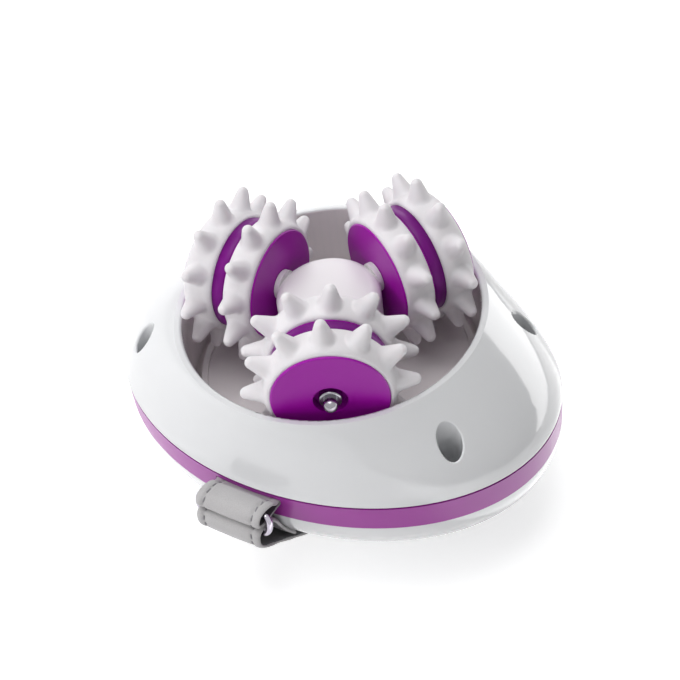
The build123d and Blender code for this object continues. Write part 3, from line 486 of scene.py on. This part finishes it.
def ribbon(name, path, thick, count, seed, mirror=False):
    """A soft strip with rounded edges and pressed seams. path is its middle line in (y, z)."""
    rnd = random.Random(seed)
    phase = [rnd.uniform(0, 6.28) for _ in range(4)]
    pts, length = spline([(y, z, 0) for y, z in path], count)
    inner = STRAP_HALF - SEAM
    bm = bmesh.new()
    rings = []
    for i, p in enumerate(pts):
        s = i / (count - 1)
        nrm = outward((pts[min(i + 1, count - 1)] - pts[max(i - 1, 0)]).normalized())
        ring = []
        for c in range(SECTION_POINTS):
            # around the section: outer face, edge, inner face, edge
            u = c / SECTION_POINTS
            face = 1 if u < 0.5 else -1
            x = -math.cos(math.pi * u / 0.5) if face > 0 else math.cos(math.pi * (u - 0.5) / 0.5)
            x = math.copysign(abs(x) ** EDGE_SQUARE_SHARE, x)
            xx = x * STRAP_HALF
            h = thick / 2 * max(0.0, 1 - abs(x) ** EDGE_ROUND_POWER) ** 0.5 * face
            press = math.exp(-((abs(xx) - inner) / SEAM_WIDTH) ** 2) * SEAM_PRESS
            if abs(xx) < inner:
                puff = PUFF * (1 - (xx / inner) ** 2)
            else:
                puff = HEM_PUFF * math.sin(math.pi * min(1, (abs(xx) - inner) / SEAM))
            if face > 0:
                h += puff - press * (0.8 + 0.3 * math.sin(length * s * 2 * math.pi / STITCH_PITCH))
            w = WAVE * (math.sin(xx * 0.35 + phase[0]) * math.sin(s * length * 0.22 + phase[1])
                        + 0.5 * math.sin(xx * 0.8 + phase[2] + s * 9))
            xx += EDGE_WAVE * math.sin(s * length * 0.5 + phase[3]) * abs(x) ** 4
            q = Vector((p.x, p.y, 0)) + nrm * (h + w)
            y, z = q.x, q.y
            if mirror:
                y, xx = -y, -xx
            ring.append(bm.verts.new((xx * MM, y * MM, z * MM)))
        rings.append(ring)
    outer_face, inner_face, edge_face = 0, 1, 2
    for r0, r1 in zip(rings, rings[1:]):
        for c in range(SECTION_POINTS):
            cc = (c + 1) % SECTION_POINTS
            f = bm.faces.new((r0[c], r0[cc], r1[cc], r1[c]))
            # Inner faces take the dark lining colour, which is partly painted shade.
            f.material_index = outer_face if (c + 0.5) / SECTION_POINTS < 0.5 else inner_face
            if abs(r0[c].co.x) / MM > STRAP_HALF - EDGE_SHOWS:
                f.material_index = edge_face
            f.smooth = True
    for ring in (rings[0], list(reversed(rings[-1]))):
        bm.faces.new(ring).material_index = edge_face
    return link_object(name, finish_mesh(bm, name, ("leather", "lining_with_shade", "edge"))), pts, length


def stitches(name, pts, length, thick, start, end, seed, mirror=False):
    """Rows of thread stitches that lie in the seams, from share start to share end of the strip."""
    rnd = random.Random(seed)
    bm = bmesh.new()
    count = len(pts)
    steps = int(length * (end - start) / STITCH_PITCH)
    across = Vector((1, 0, 0))
    for row in (-1, 1):
        for k in range(steps):
            s = start + (end - start) * (k + 0.5) / steps
            i = s * (count - 1)
            i0 = min(int(i), count - 2)
            p = pts[i0].lerp(pts[i0 + 1], i - i0)
            t = (pts[min(i0 + 2, count - 1)] - pts[max(i0 - 1, 0)]).normalized()
            nrm = outward(t)
            base = Vector((p.x, p.y, 0)) + nrm * (thick / 2 - STITCH_SINK)
            x = row * (STRAP_HALF - SEAM) + rnd.uniform(-0.06, 0.06)
            along = Vector((0, t.x, t.y))
            up = Vector((0, nrm.x, nrm.y))
            lean = rnd.uniform(-0.12, 0.12) + 0.12 * row
            prev = None
            for j in range(STITCH_PARTS + 1):
                v = j / STITCH_PARTS * 2 - 1
                r = STITCH_RADIUS * math.sqrt(max(0.02, 1 - v ** 4))
                centre = (Vector((x, base.x, base.y)) + along * (v * STITCH_PITCH * STITCH_SHARE)
                          + across * (v * lean) + up * (0.2 * (1 - v * v) - 0.05))
                ring = []
                for c in range(STITCH_SIDES):
                    a = 2 * math.pi * c / STITCH_SIDES
                    q = centre + across * (r * math.cos(a)) + up * (r * math.sin(a))
                    if mirror:
                        q = Vector((-q.x, -q.y, q.z))
                    ring.append(bm.verts.new(q * MM))
                if prev:
                    for c in range(STITCH_SIDES):
                        cc = (c + 1) % STITCH_SIDES
                        bm.faces.new((prev[c], prev[cc], ring[cc], ring[c])).smooth = True
                else:
                    bm.faces.new(list(reversed(ring)))
                prev = ring
            bm.faces.new(prev)
    return link_object(name, finish_mesh(bm, name, ("thread",)))


def tab_point(out, up):
    return (-HALF_WIDTH - TAB_REACH * out, TAB_Z + TAB_RISE * up)


def loop_point(out, up):
    return (-HALF_WIDTH - LOOP_REACH * out, LOOP_Z + LOOP_HEIGHT * up)


# The flap's strip starts at its hem in the housing, goes out over the ring's upper bar and back below it
TAB_SHARES = ((0.135, 0.42), (0.255, 0.67), (0.48, 0.86), (0.74, 0.885), (0.885, 0.72), (0.935, 0.45),
              (0.83, 0.25), (0.66, 0.16), (0.48, 0.115), (0.2, 0.085))
TAB_PATH = ([(-54.2, TAB_Z + 1.66), (-57.5, TAB_Z + 1.66), (-60.2, TAB_Z + 1.75)]
            + [tab_point(*p) for p in TAB_SHARES]
            + [(-60.2, TAB_Z + 0.54), (-57.5, TAB_Z + 0.55), (-54.2, TAB_Z + 0.55)])
# The strap's end: up the dome side, round the ring's lower bar and back down the outside
LOOP_SHARES = ((-0.435, 0.145), (-0.25, 0.295), (-0.065, 0.46), (0.075, 0.625), (0.195, 0.78), (0.34, 0.885),
               (0.52, 0.935), (0.71, 0.96), (0.855, 0.955), (0.93, 0.915), (0.945, 0.83), (0.905, 0.725),
               (0.77, 0.625), (0.525, 0.51), (0.25, 0.385), (-0.03, 0.255), (-0.29, 0.125))


def span_line():
    """The strap's middle line under the dome, from one loop to the middle."""
    trim_bottom = TRIM_TOP - TRIM_HEIGHT
    flat = HALF_WIDTH * (1 - CROWN_SHARE ** DOME_POWER) ** (1 / DOME_POWER)
    line = []
    for i in range(SPAN_STEPS + 1):
        y = flat + (HALF_WIDTH * SPAN_END_SHARE - flat) * i / SPAN_STEPS
        spread = y / HALF_WIDTH
        share = min(CROWN_SHARE, (1 - spread ** DOME_POWER) ** (1 / DOME_POWER))
        slope = DOME_DEPTH / HALF_WIDTH * (spread / share) ** (DOME_POWER - 1)
        lean = math.atan(slope) if i else CROWN_LEAN
        z = trim_bottom - DOME_DEPTH * share
        line.append((-(y + BAND_THICK * math.sin(lean)), z - BAND_THICK * math.cos(lean)))
    return list(reversed(line)) + [(-flat * 0.5, CROWN_RIM_Z), (0, CROWN_Z)]


half_line = [loop_point(*p) for p in LOOP_SHARES] + span_line()[1:]
BAND_PATH = half_line + [(-y, z) for y, z in reversed(half_line[:-1])]

band, band_pts, band_len = ribbon("strap_band_leather", BAND_PATH, BAND_THICK, BAND_POINTS, seed=5)
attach(band, "housing")
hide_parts("strap_band")
rows = stitches("strap_band_stitches", band_pts, band_len, BAND_THICK, start=0.06, end=0.94, seed=11)
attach(rows, "housing")
for name, mirror, seed in (("front", False, 21), ("back", True, 34)):
    tab, tab_pts, tab_len = ribbon(f"strap_flap_{name}", TAB_PATH, TAB_THICK, TAB_POINTS, seed, mirror)
    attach(tab, "housing")
    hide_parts(f"strap_tab_{name}")
    rows = stitches(f"strap_flap_stitches_{name}", tab_pts, tab_len, TAB_THICK, start=0.17, end=0.6,
                    seed=seed + 1, mirror=mirror)
    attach(rows, "housing")

# Wire rings that join flap and strap, in millimetres
RING_HALF, RING_BEND, RING_WIRE = 13.4, 2.6, 1.15
RING_CORNER_STEPS, RING_SIDES = 12, 24


def wire_ring(name, upper, lower, mirror):
    """A closed wire rectangle with rounded corners. upper and lower are its two bars' middles in (y, z)."""
    top, bottom = Vector((0, *upper)), Vector((0, *lower))
    up = top - bottom
    half_height = up.length / 2
    up.normalize()
    across = Vector((1, 0, 0))
    middle = (top + bottom) / 2
    side, rise = RING_HALF - RING_BEND, half_height - RING_BEND
    line = []
    for cx, cz, start in ((side, rise, 0), (-side, rise, 90), (-side, -rise, 180), (side, -rise, 270)):
        for k in range(RING_CORNER_STEPS + 1):
            a = math.radians(start + 90 * k / RING_CORNER_STEPS)
            line.append(middle + across * (cx + RING_BEND * math.cos(a))
                        + up * (cz + RING_BEND * math.sin(a)))
    out_dir = across.cross(up)
    bm = bmesh.new()
    rings = []
    n = len(line)
    for i, p in enumerate(line):
        side_dir = (line[(i + 1) % n] - line[i - 1]).normalized().cross(out_dir)
        ring = []
        for c in range(RING_SIDES):
            a = 2 * math.pi * c / RING_SIDES
            q = p + side_dir * (RING_WIRE * math.cos(a)) + out_dir * (RING_WIRE * math.sin(a))
            if mirror:
                q = Vector((-q.x, -q.y, q.z))
            ring.append(bm.verts.new(q * MM))
        rings.append(ring)
    for i in range(n):
        r0, r1 = rings[i], rings[(i + 1) % n]
        for c in range(RING_SIDES):
            cc = (c + 1) % RING_SIDES
            bm.faces.new((r0[c], r0[cc], r1[cc], r1[c])).smooth = True
    return link_object(name, finish_mesh(bm, name, ("ring",)))


for name, mirror in (("front", False), ("back", True)):
    metal = wire_ring(f"wire_ring_{name}", tab_point(0.59, 0.51), loop_point(0.71, 0.87), mirror)
    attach(metal, f"ring_{name}")
    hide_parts(f"strap_ring_{name}")

# Floor and surroundings, in metres
FLOOR_HALF = 6.0
FLOOR_COLOR, FLOOR_GLOW = (0.9, 0.9, 0.905, 1), 0.5
WHITE = (1, 1, 1, 1)
SOFT_STRENGTH, WHITE_STRENGTH = 0.22, 1.0


def seen_rays(nt):
    """One for camera, glossy and transmission rays, which show white surroundings, and nought for light."""
    path = add_node(nt, "ShaderNodeLightPath")
    total = path.outputs["Is Camera Ray"]
    for key in ("Is Glossy Ray", "Is Transmission Ray"):
        total = add_math(nt, "ADD", total, path.outputs[key], clamp=True)
    return total


def floor_material(name):
    """A matt floor that also glows for the rays that see it, and keeps the object's shadow."""
    mat, out, sh = empty_material(name)
    nt = mat.node_tree
    sh.inputs["Base Color"].default_value = FLOOR_COLOR
    sh.inputs["Roughness"].default_value = 0.9
    sh.inputs["Specular IOR Level"].default_value = 0.1
    glow = add_node(nt, "ShaderNodeEmission", values={"Color": WHITE})
    nt.links.new(add_math(nt, "MULTIPLY", seen_rays(nt), FLOOR_GLOW), glow.inputs["Strength"])
    both = add_node(nt, "ShaderNodeAddShader")
    nt.links.new(sh.outputs[0], both.inputs[0])
    nt.links.new(glow.outputs[0], both.inputs[1])
    nt.links.new(both.outputs[0], out.inputs[0])
    return mat


floor_mesh = bpy.data.meshes.new("floor")
floor_mesh.from_pydata([(-FLOOR_HALF, -FLOOR_HALF, 0), (FLOOR_HALF, -FLOOR_HALF, 0),
                        (FLOOR_HALF, FLOOR_HALF, 0), (-FLOOR_HALF, FLOOR_HALF, 0)], [], [(0, 1, 2, 3)])
floor_mesh.materials.append(floor_material("pale_floor"))
floor = link_object("floor", floor_mesh)

world = bpy.data.worlds.new("studio")
bpy.context.scene.world = world
world.use_nodes = True
tree = world.node_tree
tree.nodes.clear()
world_out = add_node(tree, "ShaderNodeOutputWorld")
soft = add_node(tree, "ShaderNodeBackground", values={"Color": WHITE, "Strength": SOFT_STRENGTH})
white = add_node(tree, "ShaderNodeBackground", values={"Color": WHITE, "Strength": WHITE_STRENGTH})
choice = add_node(tree, "ShaderNodeMixShader")
tree.links.new(seen_rays(tree), choice.inputs[0])
tree.links.new(soft.outputs[0], choice.inputs[1])
tree.links.new(white.outputs[0], choice.inputs[2])
tree.links.new(choice.outputs[0], world_out.inputs[0])

# Lamps, in metres and watts
CENTRE = (0, 0, 0.055)
CARD_LENGTH_SHARE = 2.4


def area(name, place, target, size_x, size_y, watts):
    lamp = bpy.data.lights.new(name, "AREA")
    lamp.shape = "RECTANGLE"
    lamp.size, lamp.size_y = size_x, size_y
    lamp.energy = watts
    o = link_object(name, lamp)
    o.location = place
    o.rotation_euler = (Vector(target) - Vector(place)).to_track_quat("-Z", "Y").to_euler()
    return o


def card(name, mirror_point, low, high, drop, distance, watts):
    """A white card that only reflections show. Its straight edge runs through two directions, low and high,
    as (azimuth, elevation) seen from mirror_point, and the card lies on the further and lower side."""
    def towards(az, el):
        a, e = math.radians(az), math.radians(el)
        return Vector((math.cos(e) * math.cos(a), math.cos(e) * math.sin(a), math.sin(e)))
    p, q = (Vector(mirror_point) + towards(*d) * distance for d in (low, high))
    along = (q - p).normalized()
    facing = (Vector(mirror_point) - (p + q) / 2).normalized()
    across = along.cross(facing).normalized()
    if across.z > 0:
        across = -across
    facing = across.cross(along) if across.cross(along).dot(facing) > 0 else along.cross(across)
    o = area(name, (0, 0, 0), (0, 0, -1), drop, (q - p).length * CARD_LENGTH_SHARE, watts)
    z_axis = -facing
    x_axis = along.cross(z_axis)
    centre = (p + q) / 2 + across * drop / 2
    o.matrix_world = Matrix.Translation(centre) @ Matrix((x_axis, along, z_axis)).transposed().to_4x4()
    o.visible_diffuse = False
    o.visible_camera = False


area("overhead_softbox", (-0.11, 0.01, 0.94), CENTRE, 0.7, 0.7, 4.9)
area("left_front_softbox", (-0.65, -0.65, 0.45), CENTRE, 0.5, 0.5, 3.3).visible_glossy = False
area("front_softbox", (0, -0.95, 0.3), CENTRE, 0.6, 0.3, 1.4).visible_glossy = False
area("back_left_softbox", (-0.5, 0.75, 0.5), CENTRE, 0.5, 0.5, 2.4)
wash = area("floor_wash", (0.4, -0.34, 0.4), (0.4, -0.34, 0), 0.3, 0.3, 0.6)
wash.data.spread = math.radians(40)
wash.visible_glossy = False
card("right_card", (0.066, 0.005, 0.065), (35, 7), (54, 23), 0.6, 0.8, 5.6)
low_card = area("right_floor_card", (0.36, 0.16, 0.004), (0.36, 0.16, 1), 0.56, 0.74, 1.3)
low_card.visible_diffuse = False
low_card.visible_camera = False

# Camera, fitted to the photograph: its place from the middle of the rim, its directions and its lens
CAMERA_FROM_RIM = (194.5, -275.0, 319.6)
RIGHT = (0.86891, 0.48438, -0.10182)
UP = (-0.28311, 0.65510, 0.70048)
BACK = (0.40600, -0.57983, 0.70637)
LENS, SENSOR, CLIP_START = 74.12, 36, 0.01

cam_data = bpy.data.cameras.new("camera")
cam_data.lens = LENS
cam_data.sensor_width = SENSOR
cam_data.clip_start = CLIP_START
cam = link_object("camera", cam_data)
cam_x, cam_y, cam_z = CAMERA_FROM_RIM
cam_place = Vector(((cam_x + HEAD_X) * MM, cam_y * MM, (cam_z + RIM_Z) * MM))
cam.matrix_world = Matrix.Translation(cam_place) @ Matrix((RIGHT, UP, BACK)).transposed().to_4x4()
bpy.context.scene.camera = cam
bpy.context.scene.view_settings.view_transform = "Standard"

bpy.context.view_layer.update()
